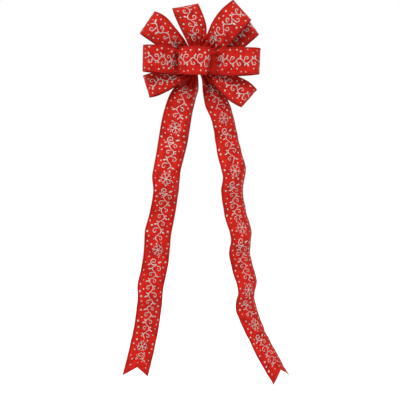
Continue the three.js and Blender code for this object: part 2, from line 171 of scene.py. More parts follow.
def ribbon_material(name, lit=(0.405, 0.0090, 0.0052), deep=(0.180, 0.0028, 0.0020), rough=0.62):
    """Woven satin-faced polyester: weft and warp threads, slubs and a soft sheen. Reads the ribbon's own
    length and width in millimetres from the attribute rib."""
    m, nt, b = new_material(name)
    att = nd(nt, "ShaderNodeAttribute", attribute_name="rib")
    sep = nd(nt, "ShaderNodeSeparateXYZ")
    nt.links.new(att.outputs["Vector"], sep.inputs[0])
    s, w = sep.outputs[0], sep.outputs[1]
    # threads: 0.55 mm weft across, 0.42 mm warp along
    tx = math_node(nt, "SINE", math_node(nt, "MULTIPLY", s, 2 * math.pi / 0.62))
    ty = math_node(nt, "SINE", math_node(nt, "MULTIPLY", w, 2 * math.pi / 0.50))
    weave = math_node(nt, "MULTIPLY", tx, ty)
    # slubs run across the ribbon, fibres along it
    def stretched(sx, sy, scale, detail):
        mp = nd(nt, "ShaderNodeMapping")
        mp.inputs["Scale"].default_value = (sx, sy, 1.0)
        nt.links.new(att.outputs["Vector"], mp.inputs["Vector"])
        nz = nd(nt, "ShaderNodeTexNoise")
        nz.inputs["Scale"].default_value = scale
        nz.inputs["Detail"].default_value = detail
        nt.links.new(mp.outputs[0], nz.inputs["Vector"])
        return nz.outputs["Fac"]
    slub = stretched(0.75, 0.16, 1.0, 3.0)
    grain = stretched(0.42, 0.42, 1.0, 4.0)
    cloud = stretched(0.045, 0.06, 1.0, 2.0)
    f = math_node(nt, "ADD", math_node(nt, "MULTIPLY", slub, 0.45), math_node(nt, "MULTIPLY", grain, 0.35))
    f = math_node(nt, "ADD", f, math_node(nt, "MULTIPLY", cloud, 0.5))
    f = math_node(nt, "ADD", f, math_node(nt, "MULTIPLY", weave, 0.10))
    ramp = nd(nt, "ShaderNodeValToRGB")
    ramp.color_ramp.elements[0].position = 0.49
    ramp.color_ramp.elements[0].color = (*deep, 1)
    ramp.color_ramp.elements[1].position = 0.745
    ramp.color_ramp.elements[1].color = (*lit, 1)
    nt.links.new(f, ramp.inputs[0])
    col = ramp.outputs[0]
    # hem: the selvedge is woven denser and reads a little darker, with a stitched line where it ends
    aw = math_node(nt, "ABSOLUTE", w)
    band = nd(nt, "ShaderNodeMapRange", interpolation_type="SMOOTHSTEP")
    band.inputs[1].default_value = 27.6
    band.inputs[2].default_value = 28.4
    nt.links.new(aw, band.inputs[0])
    line = nd(nt, "ShaderNodeMapRange", interpolation_type="SMOOTHSTEP")
    line.inputs[1].default_value = 1.0
    line.inputs[2].default_value = 0.25
    nt.links.new(math_node(nt, "ABSOLUTE", math_node(nt, "SUBTRACT", aw, 28.0)), line.inputs[0])
    col = mix_color(nt, math_node(nt, "MULTIPLY", band.outputs[0], 0.30), col, (deep[0] * 0.8, deep[1], deep[2], 1))
    col = mix_color(nt, math_node(nt, "MULTIPLY", line.outputs[0], 0.45), col, (deep[0] * 0.45, deep[1] * 0.5, deep[2] * 0.5, 1))
    nt.links.new(col, b.inputs["Base Color"])
    r = nd(nt, "ShaderNodeMapRange")
    r.inputs[3].default_value = rough + 0.10
    r.inputs[4].default_value = rough - 0.08
    nt.links.new(f, r.inputs[0])
    nt.links.new(r.outputs[0], b.inputs["Roughness"])
    b.inputs["Sheen Weight"].default_value = 0.10
    b.inputs["Sheen Roughness"].default_value = 0.45
    b.inputs["Sheen Tint"].default_value = (1.0, 0.12, 0.08, 1)
    b.inputs["Specular IOR Level"].default_value = 0.17
    b.inputs["Specular Tint"].default_value = (1.0, 0.35, 0.28, 1)
    h = math_node(nt, "ADD", math_node(nt, "MULTIPLY", weave, 0.5), math_node(nt, "MULTIPLY", slub, 1.2))
    bump = nd(nt, "ShaderNodeBump")
    bump.inputs["Strength"].default_value = 0.35
    bump.inputs["Distance"].default_value = 0.00012
    nt.links.new(h, bump.inputs["Height"])
    nt.links.new(bump.outputs[0], b.inputs["Normal"])
    return m


def thread_material():
    m, nt, b = new_material("selvedge_thread")
    att = nd(nt, "ShaderNodeAttribute", attribute_name="rib")
    sep = nd(nt, "ShaderNodeSeparateXYZ")
    nt.links.new(att.outputs["Vector"], sep.inputs[0])
    tw = math_node(nt, "SINE", math_node(nt, "ADD", math_node(nt, "MULTIPLY", sep.outputs[0], 2 * math.pi / 1.1), sep.outputs[2]))
    nz = nd(nt, "ShaderNodeTexNoise")
    nz.inputs["Scale"].default_value = 1.4
    nz.inputs["Detail"].default_value = 3.0
    nt.links.new(att.outputs["Vector"], nz.inputs["Vector"])
    f = math_node(nt, "ADD", math_node(nt, "MULTIPLY", tw, 0.22), nz.outputs["Fac"])
    ramp = nd(nt, "ShaderNodeValToRGB")
    ramp.color_ramp.elements[0].position = 0.25
    ramp.color_ramp.elements[0].color = (0.17, 0.003, 0.003, 1)
    ramp.color_ramp.elements[1].position = 0.8
    ramp.color_ramp.elements[1].color = (0.36, 0.009, 0.006, 1)
    nt.links.new(f, ramp.inputs[0])
    nt.links.new(ramp.outputs[0], b.inputs["Base Color"])
    b.inputs["Roughness"].default_value = 0.65
    b.inputs["Sheen Weight"].default_value = 0.05
    b.inputs["Sheen Tint"].default_value = (1.0, 0.12, 0.08, 1)
    b.inputs["Specular IOR Level"].default_value = 0.2
    b.inputs["Specular Tint"].default_value = (1.0, 0.35, 0.28, 1)
    bump = nd(nt, "ShaderNodeBump")
    bump.inputs["Strength"].default_value = 0.5
    bump.inputs["Distance"].default_value = 0.0001
    nt.links.new(tw, bump.inputs["Height"])
    nt.links.new(bump.outputs[0], b.inputs["Normal"])
    return m


def glitter_material():
    """Silver glitter in clear binder: flakes of differing tilt and brightness."""
    m, nt, b = new_material("silver_glitter")
    att = nd(nt, "ShaderNodeAttribute", attribute_name="rib")
    vor = nd(nt, "ShaderNodeTexVoronoi")
    vor.inputs["Scale"].default_value = 2.6
    nt.links.new(att.outputs["Vector"], vor.inputs["Vector"])
    sep = nd(nt, "ShaderNodeSeparateColor")
    nt.links.new(vor.outputs["Color"], sep.inputs[0])
    ramp = nd(nt, "ShaderNodeValToRGB")
    e = ramp.color_ramp.elements
    e[0].position, e[0].color = 0.0, (0.20, 0.100, 0.088, 1)
    e[1].position, e[1].color = 1.0, (0.64, 0.575, 0.535, 1)
    k = ramp.color_ramp.elements.new(0.5)
    k.color = (0.345, 0.243, 0.215, 1)
    nt.links.new(sep.outputs[0], ramp.inputs[0])
    nt.links.new(ramp.outputs[0], b.inputs["Base Color"])
    rr = nd(nt, "ShaderNodeMapRange")
    rr.inputs[3].default_value = 0.22
    rr.inputs[4].default_value = 0.55
    nt.links.new(sep.outputs[1], rr.inputs[0])
    nt.links.new(rr.outputs[0], b.inputs["Roughness"])
    b.inputs["Metallic"].default_value = 0.30
    bump = nd(nt, "ShaderNodeBump")
    bump.inputs["Strength"].default_value = 0.9
    bump.inputs["Distance"].default_value = 0.0002
    nt.links.new(sep.outputs[2], bump.inputs["Height"])
    nt.links.new(bump.outputs[0], b.inputs["Normal"])
    return m


def chenille_material():
    m, nt, b = new_material("tie_chenille")
    tc = nd(nt, "ShaderNodeTexCoord")
    nz = nd(nt, "ShaderNodeTexNoise")
    nz.inputs["Scale"].default_value = 900.0
    nz.inputs["Detail"].default_value = 2.0
    nt.links.new(tc.outputs["Object"], nz.inputs["Vector"])
    ramp = nd(nt, "ShaderNodeValToRGB")
    ramp.color_ramp.elements[0].position = 0.3
    ramp.color_ramp.elements[0].color = (0.13, 0.003, 0.003, 1)
    ramp.color_ramp.elements[1].position = 0.75
    ramp.color_ramp.elements[1].color = (0.34, 0.009, 0.007, 1)
    nt.links.new(nz.outputs["Fac"], ramp.inputs[0])
    nt.links.new(ramp.outputs[0], b.inputs["Base Color"])
    b.inputs["Roughness"].default_value = 0.85
    b.inputs["Sheen Weight"].default_value = 0.2
    b.inputs["Sheen Tint"].default_value = (1.0, 0.15, 0.10, 1)
    return m


MAT_RIBBON = ribbon_material("ribbon_red")
MAT_CORE = ribbon_material("ribbon_gathered", lit=(0.40, 0.010, 0.007), deep=(0.19, 0.003, 0.003), rough=0.65)
MAT_THREAD = thread_material()
MAT_GLITTER = glitter_material()
MAT_CHENILLE = chenille_material()


# ------------------------------------------------------------------ mesh making
def make_object(name, verts, faces, rib, material, smooth_shade=True):
    me = bpy.data.meshes.new(name)
    me.from_pydata((np.asarray(verts) * MM).tolist(), [], [list(map(int, f)) for f in faces])
    me.validate()
    a = me.attributes.new("rib", "FLOAT_VECTOR", "POINT")
    a.data.foreach_set("vector", np.asarray(rib, np.float32).ravel())
    me.materials.append(material)
    if smooth_shade:
        me.polygons.foreach_set("use_smooth", [True] * len(me.polygons))
    ob = bpy.data.objects.new(name, me)
    bpy.context.scene.collection.objects.link(ob)
    return ob


def grid_faces(n, m, base=0, flip=False, wrap=False):
    i, k = np.meshgrid(np.arange(n - 1), np.arange(m if wrap else m - 1), indexing="ij")
    a = base + i * m + k
    b = base + i * m + (k + 1) % m
    c = base + (i + 1) * m + (k + 1) % m
    d = base + (i + 1) * m + k
    q = np.stack([a, b, c, d], -1).reshape(-1, 4)
    return q[:, ::-1] if flip else q


# half-thickness of the ribbon by distance from its middle: thin cloth, then the turned hem
HALF_T = 0.20
COLS = np.array([-31.25, -30.9, -30.4, -29.2, -28.35, -28.05, -27.7, -27.0]
                + list(np.linspace(-25.5, 25.5, 35)) + [27.0, 27.7, 28.05, 28.35, 29.2, 30.4, 30.9, 31.25])
THICK = np.interp(np.abs(COLS), [0, 27.7, 28.05, 28.35, 29.2, 30.4, 30.9, 31.25],
                  [HALF_T, HALF_T, 0.17, 0.33, 0.36, 0.36, 0.42, 0.30])


class Ribbon:
    """A ribbon surface: rows along it, columns across it. Keeps its points, normals and true length."""

    def __init__(self, name, ea, eb, face, camber=2.0, pleats=4, pleat_cap=None, seed=1, tip_share=None, wobble=0.25,
                 rows_shift=None, convex=1.0, curl=None, dent=0.9, edge_wave=0.40, crumple=1.6, both_ends=True, tucks=()):
        self.name = name
        n = len(ea)
        mid = (ea + eb) / 2
        ds = np.linalg.norm(np.diff(mid, axis=0), axis=1)
        s = np.r_[0, np.cumsum(ds)]
        self.s, self.length = s, s[-1]
        across = unit(ea - eb)
        tangent = unit(np.gradient(mid, s, axis=0))
        normal = unit(np.cross(tangent, across))
        if np.sum(normal[:, :] * face) < 0:
            normal = -normal
        chord = np.linalg.norm(ea - eb, axis=1) / 2           # half
        self.chord = chord
        w = COLS / (RIBBON / 2)                               # -1 .. 1
        W, _ = np.meshgrid(w, s)
        C = chord[:, None]
        # camber: a shallow arch across the ribbon, fading at a loop's fold
        full = smooth((chord - 14) / 12)
        cam_h = camber * full * (1 if tip_share is None else tip_share)
        arch = convex * cam_h[:, None] * (1 - W ** 2)
        # pleats: the width that the pinch takes up, as rounded folds that fade outwards
        spare = np.sqrt(np.maximum((RIBBON / 2) ** 2 - chord ** 2 - (1.6 * cam_h) ** 2, 0))
        amp = 2 * spare / (4 * pleats)
        if pleat_cap is not None:
            amp = np.minimum(amp, pleat_cap)
        near = np.minimum(s, s[-1] - s) if both_ends else s
        amp = np.minimum(amp, 2 * chord / pleats * (0.55 - 0.27 * smooth((near - 12) / 16)))
        r = np.random.default_rng(seed)
        ph = r.uniform(-0.5, 0.5)
        drift = waves(s, seed + 7, [(180, 0.35), (90, 0.15)])[:, None]
        fold = np.cos(math.pi * pleats * (W + 0.06 * np.sin(3.1 * W + ph)) + drift + ph)
        # unequal folds
        fold = fold * (1 + 0.22 * np.sin(2.3 * W + 5 * ph))
        edge_fade = 1 - 0.35 * np.abs(W) ** 6
        lift = arch + amp[:, None] * fold * edge_fade
        # crushed just outside the pinch, where the ribbon has not yet opened out
        bell = smooth((near - 20) / 10) * (1 - smooth((near - 40) / 30))
        p1, p2 = r.uniform(0, 6.28, 2)
        nn_ = near[:, None]
        lift = lift + crumple * bell[:, None] * (0.62 * np.cos(2 * math.pi * 1.3 * W + p1 + nn_ / 24.0)
                                                 + 0.38 * np.cos(2 * math.pi * 2.4 * W + p2 - nn_ / 13.0))
        # tucks: where the ribbon is pushed in beside the centre loop (at, half width, depth, skew)
        for at_, hw_, dp_, sk_ in tucks:
            lift = lift - dp_ * np.exp(-np.abs((s[:, None] - at_ - sk_ * W) / hw_) ** 2.4) * (1 - 0.35 * W ** 2)
        # the fine unevenness of handled ribbon
        S = s[:, None] + 0 * W
        X = W * RIBBON / 2
        a1, a2, a3 = r.uniform(0, 6.28, 3)
        lift = lift + wobble * (np.sin(2 * math.pi * (S / 47.0 + X / 150.0) + a1) * 0.9
                                + np.sin(2 * math.pi * (S / 29.0 - X / 85.0) + a2) * 0.5
                                + np.sin(2 * math.pi * (S / 17.0 + X / 41.0) + a3) * 0.22)
        # soft dents, and the wired edges' own slight wave
        for _ in range(int(self.length / 26)):
            cs, cx_ = r.uniform(20, self.length - 12), r.uniform(-26, 26)
            rs, rx = r.uniform(6, 15), r.uniform(8, 20)
            an = r.uniform(0, math.pi)
            us = (S - cs) * math.cos(an) + (X - cx_) * math.sin(an)
            ux = -(S - cs) * math.sin(an) + (X - cx_) * math.cos(an)
            lift = lift + r.uniform(-1, 1) * dent * np.exp(-(us / rs) ** 2 - (ux / rx) ** 2)
        e1, e2 = r.uniform(0, 6.28, 2)
        wave_l = np.sin(S / 7.4 + 1.3 * np.sin(S / 31.0 + e1)) + 0.6 * np.sin(S / 4.1 + e2)
        wave_r = np.sin(S / 6.6 + 1.4 * np.sin(S / 27.0 + e2)) + 0.6 * np.sin(S / 4.6 + e1)
        lift = lift + edge_wave * (wave_l * np.clip(W, 0, 1) ** 5 + wave_r * np.clip(-W, 0, 1) ** 5)
        if curl is not None:      # an edge that rolls back: (side, depth along the ribbon)
            side_, deep_ = curl
            q = np.clip((side_ * W - 0.58) / 0.42, 0, 1) ** 1.6
            lift = lift + deep_[:, None] * ((1 + side_ * W) / 2 - q)      # both edges stay where they are
        lateral = W * C
        P = mid[:, None, :] + across[:, None, :] * lateral[..., None] + normal[:, None, :] * lift[..., None]
        if rows_shift is not None:
            P = rows_shift(P, s, W)
        self.P = P
        du = np.gradient(P, axis=0)
        dv = np.gradient(P, axis=1)
        N = unit(np.cross(du, dv))
        if np.sum(N * normal[:, None, :]) < 0:
            N = -N
        self.N = N
        self.w_mm = COLS

    def at(self, s, w, off):
        """Points on the printed face, off above the middle of the cloth."""
        s = np.asarray(s, float)
        w = np.asarray(w, float)
        fi = np.interp(s, self.s, np.arange(len(self.s)))
        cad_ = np.interp(w, self.w_mm, np.arange(len(self.w_mm)))
        i = np.clip(np.floor(fi).astype(int), 0, len(self.s) - 2)
        k = np.clip(np.floor(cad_).astype(int), 0, len(self.w_mm) - 2)
        u = (fi - i)[:, None]
        v = (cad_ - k)[:, None]

        def bil(G):
            return ((G[i, k] * (1 - v) + G[i, k + 1] * v) * (1 - u)
                    + (G[i + 1, k] * (1 - v) + G[i + 1, k + 1] * v) * u)
        return bil(self.P) + unit(bil(self.N)) * np.asarray(off, float)[:, None]

    def build(self, material):
        n, m = self.P.shape[:2]
        T = THICK[None, :, None]
        out = self.P + self.N * T
        inn = self.P - self.N * T
        verts = np.concatenate([out.reshape(-1, 3), inn.reshape(-1, 3)])
        base = n * m
        faces = [grid_faces(n, m), grid_faces(n, m, base, flip=True)]
        i = np.arange(n - 1)
        for k, f in ((0, 1), (m - 1, -1)):
            q = np.stack([i * m + k, (i + 1) * m + k, base + (i + 1) * m + k, base + i * m + k], -1)
            faces.append(q if f > 0 else q[:, ::-1])
        k = np.arange(m - 1)
        for i0, f in ((0, -1), (n - 1, 1)):
            q = np.stack([i0 * m + k, i0 * m + k + 1, base + i0 * m + k + 1, base + i0 * m + k], -1)
            faces.append(q[:, ::-1] if f > 0 else q)
        F = np.concatenate(faces)
        # outward: the printed face must look along N
        a, b, c = verts[F[0][0]], verts[F[0][1]], verts[F[0][2]]
        if np.dot(np.cross(b - a, c - a), self.N[0, 0]) < 0:
            F = F[:, ::-1]
        S = np.repeat(self.s[:, None], m, 1)
        rib = np.stack([S, np.repeat(COLS[None, :], n, 0), 0 * S], -1).reshape(-1, 3)
        rib = np.concatenate([rib, rib + [0, 0, -1]])
        return make_object(self.name, verts, F, rib, material)

    def selvedge(self, material):
        """Overcast thread round the wire in both edges, closed at both ends."""
        verts, faces, ribs = [], [], []
        sides = 10
        step = 0.9
        count = max(40, int(self.length / step))
        ss = np.linspace(self.s[0] + 0.2, self.s[-1] - 0.2, count)
        for sign in (-1, 1):
            wv = np.full(count, sign * 31.12)
            c = self.at(ss, wv, np.zeros(count))
            nn = unit(self.at(ss, wv, np.ones(count)) - c)
            t = unit(np.gradient(c, axis=0))
            side = unit(np.cross(t, nn))
            base = sum(len(v) for v in verts)
            ang = np.linspace(0, 2 * math.pi, sides, endpoint=False)
            lay = ss[:, None] * 2 * math.pi / 1.8 + ang[None, :]
            r = 0.60 + 0.055 * np.sin(lay)
            ring = c[:, None, :] + nn[:, None, :] * (np.cos(ang)[None, :] * r)[..., None] + side[:, None, :] * (np.sin(ang)[None, :] * r)[..., None]
            verts.append(ring.reshape(-1, 3))
            F = grid_faces(count, sides, base, wrap=True)
            p = ring.reshape(-1, 3)
            q = F[0] - base
            if np.dot(np.cross(p[q[1]] - p[q[0]], p[q[2]] - p[q[0]]), p[q[0]] - c[0]) < 0:
                F = F[:, ::-1]
            faces += F.tolist()
            faces.append([base + j for j in range(sides - 1, -1, -1)])
            faces.append([base + (count - 1) * sides + j for j in range(sides)])
            ribs.append(np.stack([np.repeat(ss[:, None], sides, 1), np.full((count, sides), sign * 31.1), np.repeat(ang[None, :], count, 0)], -1).reshape(-1, 3))
        return make_object(self.name + "_selvedge", np.concatenate(verts), faces, np.concatenate(ribs), material)


# ------------------------------------------------------------------ the printed pattern
class Print:
    """Collects raised glitter shapes in ribbon coordinates (s along, w across, mm)."""

    def __init__(self, ribbon, lo, hi, weight=1.0):
        self.r, self.lo, self.hi, self.weight = ribbon, lo, hi, weight
        self.verts, self.faces, self.ribs, self.n = [], [], [], 0

    def _add(self, pts, faces, off):
        pts = np.asarray(pts, float)
        if pts[:, 0].min() < self.lo or pts[:, 0].max() > self.hi or np.abs(pts[:, 1]).max() > 30.3:
            return False
        self.verts.append(self.r.at(pts[:, 0], pts[:, 1], off))
        self.ribs.append(np.stack([pts[:, 0], pts[:, 1], np.asarray(off) * 0 + 40.0 + self.n * 1e-4], -1))
        self.faces += [[i + self.n for i in f] for f in faces]
        self.n += len(pts)
        return True

    def dot(self, s, w, rad):
        k = 10 if rad > 1.5 else 8
        a = np.linspace(0, 2 * math.pi, k, endpoint=False)
        # one closed dome: underside rings, rim, then the top rings
        rings = [(rad * 0.5, HALF_T - 0.08), (rad, HALF_T - 0.08), (rad * 0.96, HALF_T + 0.14), (rad * 0.66, HALF_T + 0.26), (rad * 0.33, HALF_T + 0.29)]
        m = len(rings)
        pts, off = [], []
        for rr, o in rings:
            pts += [(s + rr * math.cos(x), w + rr * math.sin(x)) for x in a]
            off += [o] * k
        pts.append((s, w)); off.append(HALF_T + 0.30)
        pts.append((s, w)); off.append(HALF_T - 0.08)
        f = []
        for q in range(m - 1):
            for j in range(k):
                f.append([q * k + j, q * k + (j + 1) % k, (q + 1) * k + (j + 1) % k, (q + 1) * k + j])
        for j in range(k):
            f.append([(m - 1) * k + j, (m - 1) * k + (j + 1) % k, m * k])
            f.append([j, m * k + 1, (j + 1) % k])
        return self._add(pts, f, np.array(off))

    def stroke(self, line, width):
        """A raised stroke along a line. width is one number or one for each point."""
        L = np.array(line, float)
        d = np.r_[0, np.cumsum(np.linalg.norm(np.diff(L, axis=0), axis=1))]
        if d[-1] < 0.5:
            return False
        n = max(3, int(round(d[-1] / 1.15)) + 1)
        t = np.linspace(0, d[-1], n)
        C = np.stack([np.interp(t, d, L[:, 0]), np.interp(t, d, L[:, 1])], -1)
        wd = np.interp(t, d, width) if hasattr(width, "__len__") else np.full(n, float(width))
        wd = wd * self.weight
        end = np.minimum(t, d[-1] - t) / np.maximum(wd / 2, 1e-6)
        wd = wd * np.sqrt(np.clip(1 - (1 - np.clip(end, 0, 1)) ** 2, 0.10, 1))
        T = unit(np.gradient(C, axis=0))
        Nn = np.stack([-T[:, 1], T[:, 0]], -1)
        prof = [(-0.5, -0.08), (-0.46, 0.13), (-0.2, 0.25), (0.2, 0.25), (0.46, 0.13), (0.5, -0.08)]
        pts, off = [], []
        for i in range(n):
            for x, o in prof:
                pts.append(C[i] + Nn[i] * x * wd[i]); off.append(HALF_T + o)
        m = len(prof)
        f = []
        for i in range(n - 1):
            for j in range(m):
                f.append([i * m + j, (i + 1) * m + j, (i + 1) * m + (j + 1) % m, i * m + (j + 1) % m])
        f.append([j for j in range(m)])
        f.append([(n - 1) * m + j for j in range(m - 1, -1, -1)])
        return self._add(np.array(pts), f, np.array(off))

    def snowflake(self, s, w, rad, turn, kind=0):
        for q in range(6):
            a = turn + q * math.pi / 3
            u = np.array([math.cos(a), math.sin(a)])
            c = np.array([s, w])
            self.stroke([c + u * 1.0, c + u * rad], [1.9, 1.6])
            for at_, ln in (((0.40, 0.36), (0.70, 0.30)) if kind == 0 else ((0.55, 0.44),)):
                for sg in (-1, 1):
                    b = a + sg * math.pi / 3.1
                    v = np.array([math.cos(b), math.sin(b)])
                    p = c + u * rad * at_
                    self.stroke([p, p + v * rad * ln], 1.45)
        self.dot(s, w, 2.2)

    def leaf(self, s, w, ang, length, fat, bend=0.0):
        """A filled almond leaf with a slight bend."""
        t = np.linspace(0, 1, 12)
        u = np.array([math.cos(ang), math.sin(ang)]); v = np.array([-u[1], u[0]])
        line = [np.array([s, w]) + u * length * x + v * bend * x * x for x in t]
        self.stroke(line, 0.9 + 2 * fat * np.sin(math.pi * np.minimum(1, t * 1.02)) ** 0.8)

    def curl(self, s, w, R0, start, spin, turns, w0, w1, lead=None):
        th = np.linspace(0, 2.0 * math.pi * turns, 28)
        rad = R0 * (1 - 0.74 * (th / th[-1]) ** 0.9)
        c = np.stack([s + rad * np.cos(start + spin * th), w + rad * np.sin(start + spin * th)], -1)
        if lead is not None:
            k = np.linspace(0, 1, 8)[:-1, None]
            tang = np.array([-math.sin(start) * spin, math.cos(start) * spin])
            p0, p1 = np.array(lead, float), c[0]
            ctrl = p1 - tang * np.linalg.norm(p1 - p0) * 0.5
            e = (1 - k) ** 2 * p0 + 2 * k * (1 - k) * ctrl + k ** 2 * p1
            self.stroke(np.concatenate([e, c]), np.r_[np.linspace(w1, w0, 7), np.linspace(w0, w1, 28)])
        else:
            self.stroke(c, np.linspace(w0, w1, 28))
        return c[-1]

    def scroll(self, s0, length, hand, seed):
        """A running vine: a big opening curl, then a waved stem, thick and thin, with a curl in each bend and
        leaves outside it."""
        r = np.random.default_rng(seed)
        big = 17.0 if length > 44 else 0.0
        if big:
            c = self.curl(s0 + 9.5, hand * 5.5, 9.0, -hand * 0.25 * math.pi, hand, 1.22, 3.2, 1.5, (s0 + big + 3.0, -hand * 0.6))
            self.dot(c[0], c[1], 1.9)
            self.leaf(s0 + 12.5, -hand * 5.2, -hand * 2.15, 10.0, 1.9, bend=hand * 1.4)
            self.leaf(s0 + 16.5, hand * 12.0, hand * 1.25, 7.0, 1.5, bend=-hand)
        a0, ln = s0 + big, length - big
        halves = max(1, int(round(ln / 15.5)))
        pitch = ln / halves
        x = np.linspace(0, 1, 24 * halves)
        amp = 6.0
        ends = np.minimum(1, np.minimum(x, 1 - x) * halves * 1.6 + 0.25)
        wv = hand * amp * np.sin(math.pi * halves * x) * ends
        stem = np.stack([a0 + ln * x, wv], -1)
        self.stroke(stem, 1.3 + 1.5 * np.abs(np.sin(math.pi * halves * x)) ** 1.5)
        for h in range(halves):
            side = hand * (1 if h % 2 == 0 else -1)
            cx = a0 + pitch * (h + 0.52) + r.uniform(-0.5, 0.5)
            tall = r.uniform() < 0.3
            cw = -side * ((8.6 if tall else 5.6) + r.uniform(0, 1.0))
            R0 = (5.9 if tall else 4.9) + r.uniform(-0.3, 0.3)
            end = self.curl(cx, cw, R0, math.pi, side, 0.92 + r.uniform(-0.05, 0.1), 2.2, 1.25, (a0 + pitch * (h + 0.06), side * 1.0))
            # leaves beyond the crest of the stem
            tx, tw = a0 + pitch * (h + 0.5), side * (amp + 0.6)
            a = side * (math.pi / 2 - 0.5) + r.uniform(-0.12, 0.12)
            if r.uniform() < 0.75:
                self.leaf(tx + 1.0, tw, a, r.uniform(7.0, 10.5), 1.6, bend=side * 1.2)
            else:
                self.dot(tx + 1.5, tw + side * 3.2, 1.6)
            if h % 2 == r.integers(0, 2):
                self.leaf(tx - 2.0, tw - side * 0.4, a + side * 1.2, 5.8, 1.3, bend=-side * 0.8)

    def fill_dots(self, taken, seed, per_mm=0.30):
        """Scattered dots of three sizes that keep off what is already printed."""
        r = np.random.default_rng(seed)
        have = []
        tries = int((self.hi - self.lo) * per_mm * 14)
        want = int((self.hi - self.lo) * per_mm)
        for _ in range(tries):
            if len(have) >= want:
                break
            s = r.uniform(self.lo + 3, self.hi - 3)
            w = r.uniform(-26.5, 26.5)
            rad = r.choice([1.45, 1.9, 2.4], p=[0.35, 0.40, 0.25])
            if any(abs(s - a) < h + rad and abs(w - b) < g + rad for a, b, h, g in taken):
                continue
            if any((s - a) ** 2 + (w - b) ** 2 < (8.0 + c) ** 2 for a, b, c in have):
                continue
            if self.dot(s, w, rad):
                have.append((s, w, rad))

    def pattern(self, items, seed):
        """items: vines ("v", from, to) and snowflakes ("f", at), in mm along the ribbon."""
        taken = []
        for j, it in enumerate(items):
            if it[0] == "v":
                a0, a1 = max(it[1], self.lo + 4), min(it[2], self.hi - 4)
                if a1 - a0 > 14:
                    self.scroll(a0, a1 - a0, 1 if j % 2 == 0 else -1, seed + 31 * j)
                    taken.append(((a0 + a1) / 2, 0, (a1 - a0) / 2 - 1, 15.0))
            else:
                rad = 14.6
                if it[1] - rad > self.lo and it[1] + rad < self.hi:
                    w0 = 3.0 * math.sin(1.7 * j + seed)
                    self.snowflake(it[1], w0, rad, 0.26 + 0.5 * j, kind=j % 2)
                    taken.append((it[1], w0, rad - 3, rad - 3))
        self.fill_dots(taken, seed, 0.30 * self.weight)
        return self

    def build(self, material):
        if not self.n:
            return None
        return make_object(self.r.name + "_print", np.concatenate(self.verts), self.faces, np.concatenate(self.ribs), material)


# ------------------------------------------------------------------ shapes, the same as the CAD model's
ROOT_RADIUS, ROOT_HALF = 13.5, 5.5
LOOPS = {
    "loop_left_upper": dict(root=144, y=0, depth=-4, roll=0, fold=17,
        a=[[-34, 9], [-60, 21.5], [-86.4, 33.9], [-107.7, 48.2], [-125.8, 60.3]],
        b=[[-25.1, 42.4], [-30.5, 50.5], [-45.3, 69], [-68.8, 95.4], [-92.3, 108.4]]),
    "loop_top_left": dict(root=98, y=8, depth=42, roll=5, fold=17,
        a=[[-17.8, 35.3], [-24.5, 50.8], [-40.7, 85], [-50.1, 106.4], [-55.6, 121.9]],
        b=[[11.5, 37.5], [20.5, 60], [20.8, 80.8], [14.2, 103], [2.2, 131.9]]),
    "loop_top_right": dict(root=46, y=0, depth=-7, roll=4, fold=17,
        a=[[5.7, 31.7], [21.5, 56.5], [33, 83.1], [50.5, 108], [79.1, 133.6]],
        b=[[34, 9], [51.6, 20], [72.5, 37.4], [96.7, 64.2], [119.5, 89.7]]),
    "loop_right_upper": dict(root=28, y=8, depth=42, roll=4, fold=17,
        a=[[25, 29.5], [38.5, 49], [55.5, 70], [78.9, 92.2], [102.2, 112.2]],
        b=[[37.7, -1], [57.7, 3.4], [83.3, 16.6], [110, 38.8], [138.2, 63.7]]),
    "loop_left_middle": dict(root=180, y=-12, depth=-36.6, reach=55, late=2, swell=2, roll=12, fold=17,
        a=[[-28.1, -29], [-42, -31.6], [-67.2, -31.2], [-91, -29], [-118.1, -26.8]],
        b=[[-28.1, 24], [-45.5, 27.4], [-67.2, 28.3], [-91, 28.9], [-116.2, 29.1]]),
    "loop_right_middle": dict(root=-4, y=-12, depth=-36.6, reach=55, late=2, swell=2, roll=-12, fold=17,
        a=[[26.1, 22.5], [41.3, 25.2], [71.7, 24.4], [104.2, 23.3], [136.5, 22]],
        b=[[24, -28.5], [41.3, -32.9], [71.7, -36.4], [104.2, -35.3], [135.7, -32.7]]),
    "loop_left_lower": dict(root=211, y=0, depth=-3, roll=-14, fold=16,
        a=[[-14.3, -32.2], [-29.4, -43.5], [-54.9, -60.5], [-80.2, -73.3], [-104.2, -81.2]],
        b=[[-35.5, -9], [-54, -13.5], [-75, -20], [-96.7, -26.5], [-118.7, -32]]),
    "loop_right_lower": dict(root=329, y=0, depth=-3, roll=14, fold=16,
        a=[[33, -6], [54, -14.5], [86.4, -33.1], [111.9, -45.8], [132.3, -62.5]],
        b=[[14.3, -26.5], [25.5, -39.7], [44, -59.5], [67.7, -84], [98, -102.7]]),
}
CENTER_TOP = [[-4, -23.5], [-14, -30], [-29, -40], [-36.5, -53], [-35, -66], [-22, -74],
              [-3, -76.5], [14, -75], [25.5, -69], [29.5, -58], [25.5, -44], [13.5, -31], [4, -23.5]]
CENTER_BOTTOM = [[-4, -23.5], [-14, -30], [-28.5, -40], [-36, -53], [-35, -66], [-23, -74],
                 [-5, -76.5], [10, -75], [19, -69], [21.8, -58], [19.5, -44], [11.5, -31], [4, -23.5]]
CENTER_TOP_Z = [8, 17, 23, 24.5, 24.6, 24.4, 24, 23.4, 22.6, 22, 21, 16, 8]
CENTER_BOTTOM_Z = [-8, -21, -30, -33.5, -33.8, -35.6, -37.2, -37.2, -36.8, -36.2, -31, -22, -8]
